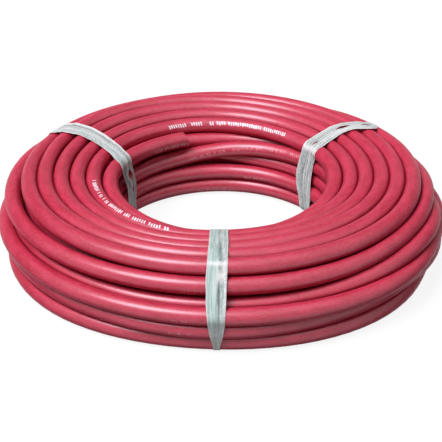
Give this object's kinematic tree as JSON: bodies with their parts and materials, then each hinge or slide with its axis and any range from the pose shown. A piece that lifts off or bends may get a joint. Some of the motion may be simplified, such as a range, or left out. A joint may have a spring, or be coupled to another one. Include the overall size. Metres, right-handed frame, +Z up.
{
  "type": "coil of rubber gas hose",
  "caption": "Tied coil of rubber gas hose lying flat: rows of nested turns round an open eye, with bare cut ends and film straps round the section.",
  "frame": {"origin": "on the coil's axis, at the surface that the coil lies on", "axes": "+Z up along the coil's axis, -Y towards the front strap, +X to the right seen from the front"},
  "size_m": [0.4154, 0.4165, 0.0766],
  "materials": {
    "hose_rubber": "satin crimson rubber with a fine lengthwise grain and a broken line of pale marks",
    "strap_film": "creased translucent film, milky green-white"
  },
  "bodies": {
    "root": {"hose_coil": "hose_rubber", "hose_end": "hose_rubber", "lower_end": "hose_rubber", "strap_front": "strap_film", "strap_left": "strap_film", "strap_right": "strap_film"}
  },
  "joints": []
}
